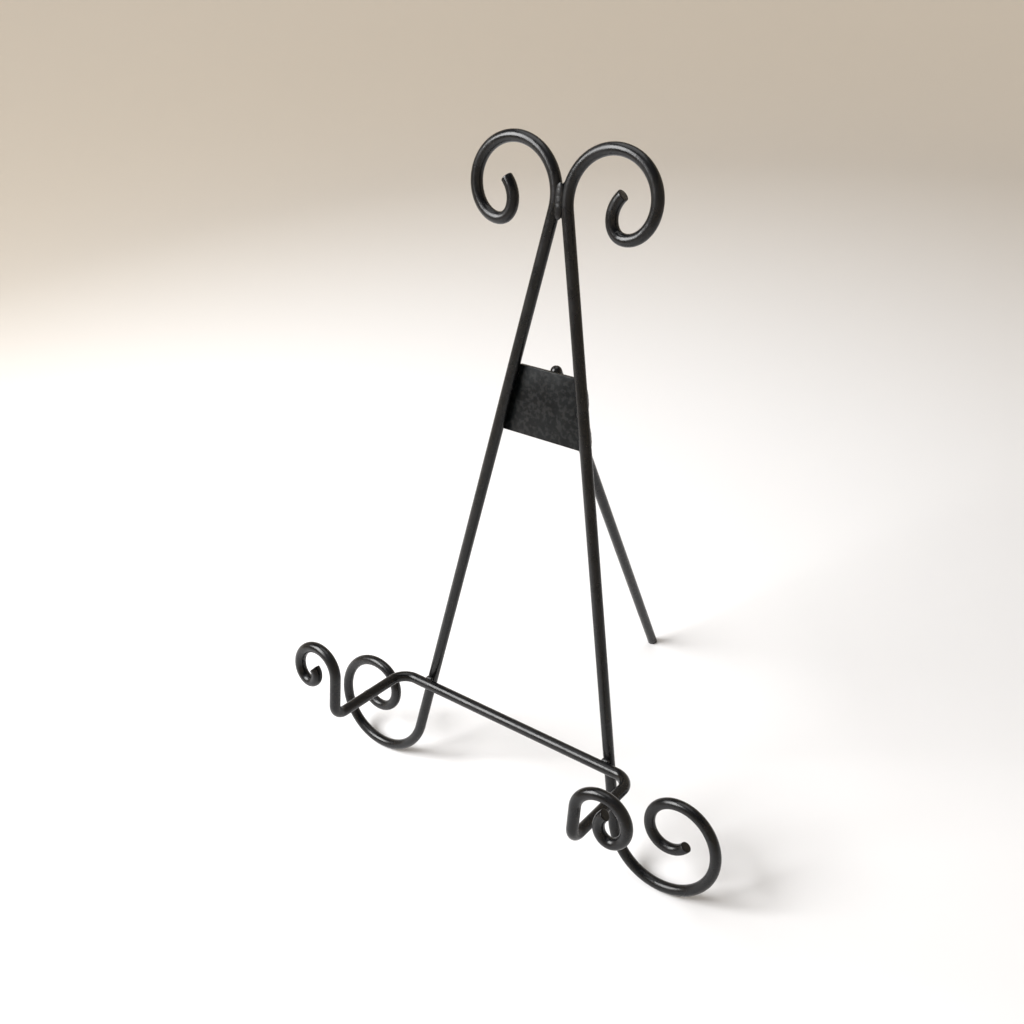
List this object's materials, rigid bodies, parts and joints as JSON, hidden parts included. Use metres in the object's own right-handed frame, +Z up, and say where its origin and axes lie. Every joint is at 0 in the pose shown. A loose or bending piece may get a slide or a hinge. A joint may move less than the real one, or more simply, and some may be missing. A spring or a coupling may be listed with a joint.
{
  "type": "tabletop easel",
  "caption": "Bent and welded black bar easel with scrolled ends, a ledge with upturned lips and a folding rear leg, for showing a plate, picture or book.",
  "frame": {"origin": "on the surface the easel stands on, in the middle of the space it covers", "axes": "+Z up, +X to the right of a person facing the easel, +Y towards its back"},
  "size_m": [0.2756, 0.2262, 0.378],
  "materials": {
    "bar_paint": "satin black paint over round steel bar",
    "sheet_paint": "satin black paint over flat steel sheet",
    "weld_paint": "satin black paint over rippled weld metal",
    "hinge_steel": "blackened steel, rubbed bright where it turns"
  },
  "bodies": {
    "frame": {"left_upright": "bar_paint", "right_upright": "bar_paint", "ledge_bar": "bar_paint", "hinge_plate": "sheet_paint", "hinge_bracket": "sheet_paint", "hinge_pin": "hinge_steel", "top_weld_front": "weld_paint", "top_weld_back": "weld_paint", "left_washer": "hinge_steel", "ledge_weld_left_upper": "weld_paint", "ledge_weld_left_lower": "weld_paint", "plate_weld_left_upper": "weld_paint", "plate_weld_left_lower": "weld_paint", "bracket_weld_left": "weld_paint", "right_washer": "hinge_steel", "ledge_weld_right_upper": "weld_paint", "ledge_weld_right_lower": "weld_paint", "plate_weld_right_upper": "weld_paint", "plate_weld_right_lower": "weld_paint", "bracket_weld_right": "weld_paint"},
    "leg": {"rear_leg": "bar_paint"}
  },
  "joints": [
    {"name": "leg_hinge", "type": "hinge", "parent": "frame", "child": "leg", "pos_m": [0, 0.02175, 0.25557], "axis": [-1, 0, 0], "range_deg": [0, 35]}
  ]
}
